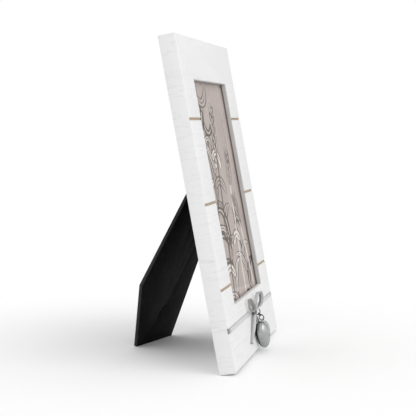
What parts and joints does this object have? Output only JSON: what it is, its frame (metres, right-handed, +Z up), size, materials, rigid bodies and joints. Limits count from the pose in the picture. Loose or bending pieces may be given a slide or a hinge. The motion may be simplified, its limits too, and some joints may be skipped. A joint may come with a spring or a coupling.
{
  "type": "tabletop photo frame",
  "caption": "Standing wooden photo frame in white wash with plank grooves, a satin ribbon with a bow, a hanging heart charm and a folding easel leg.",
  "frame": {"origin": "bottom centre of the object's box, on the surface that it stands on", "axes": "+Z up, +X to the right seen from the front, -Y towards the viewer: the window faces -Y and leans back"},
  "size_m": [0.19, 0.1124, 0.248],
  "materials": {
    "white_wash": "matt white wash, brushed over the grain",
    "bare_wood": "bare beech",
    "clear_glass": "clear, polished",
    "print_paper": null,
    "kraft_board": "plain corrugated board",
    "black_board": "black paper on hardboard, satin, pale worn edge",
    "plated_steel": "zinc plated",
    "satin_ribbon": "grey satin with a soft sheen",
    "dark_wire": "dark plated wire",
    "silver_heart": "silver, softly polished"
  },
  "bodies": {
    "frame": {"top_rail": "white_wash", "bottom_rail": "white_wash", "left_stile": "white_wash", "right_stile": "white_wash", "corner_dowels": "bare_wood", "glass_pane": "clear_glass", "photo_print": "print_paper", "corrugated_pad": "kraft_board", "back_board": "black_board", "turn_button_screws": "plated_steel", "hinge_board_leaf": "plated_steel", "hinge_pin": "plated_steel", "board_rivets": "plated_steel", "ribbon_left_run": "satin_ribbon", "ribbon_right_run": "satin_ribbon", "bow_left_loop": "satin_ribbon", "bow_right_loop": "satin_ribbon", "bow_knot": "satin_ribbon", "bow_left_tail": "satin_ribbon", "bow_right_tail": "satin_ribbon", "knot_ring": "dark_wire"},
    "leg": {"easel_leg": "black_board", "hinge_leg_leaf": "plated_steel", "leg_rivets": "plated_steel"},
    "turn_button_lower_left": {"turn_button_lower_left": "plated_steel"},
    "turn_button_lower_right": {"turn_button_lower_right": "plated_steel"},
    "turn_button_upper_left": {"turn_button_upper_left": "plated_steel"},
    "turn_button_upper_right": {"turn_button_upper_right": "plated_steel"},
    "charm_link": {"link_ring": "dark_wire", "charm_ring": "dark_wire"},
    "heart": {"heart_charm": "silver_heart"}
  },
  "joints": [
    {"name": "leg_fold", "type": "hinge", "parent": "frame", "child": "leg", "pos_m": [0.0396, -0.00511, 0.1461], "axis": [-0.8746, 0.0887, 0.4766], "range_deg": [0, 32]},
    {"name": "turn_button_lower_left_turn", "type": "hinge", "parent": "frame", "child": "turn_button_lower_left", "pos_m": [-0.072, -0.02235, 0.06489], "axis": [0, 0.9831, -0.1829], "range_deg": [-90, 90]},
    {"name": "turn_button_lower_right_turn", "type": "hinge", "parent": "frame", "child": "turn_button_lower_right", "pos_m": [0.072, -0.02235, 0.06489], "axis": [0, 0.9831, -0.1829], "range_deg": [-90, 90]},
    {"name": "turn_button_upper_left_turn", "type": "hinge", "parent": "frame", "child": "turn_button_upper_left", "pos_m": [-0.072, 0.00252, 0.19859], "axis": [0, 0.9831, -0.1829], "range_deg": [-90, 90]},
    {"name": "turn_button_upper_right_turn", "type": "hinge", "parent": "frame", "child": "turn_button_upper_right", "pos_m": [0.072, 0.00252, 0.19859], "axis": [0, 0.9831, -0.1829], "range_deg": [-90, 90]},
    {"name": "charm_lift", "type": "hinge", "parent": "frame", "child": "charm_link", "pos_m": [0, -0.04535, 0.03204], "axis": [-1, 0, 0], "range_deg": [0, 48]},
    {"name": "heart_swing", "type": "hinge", "parent": "charm_link", "child": "heart", "pos_m": [0, -0.04983, 0.02584], "axis": [0, -0.9831, 0.1829], "range_deg": [-15, 15]}
  ]
}
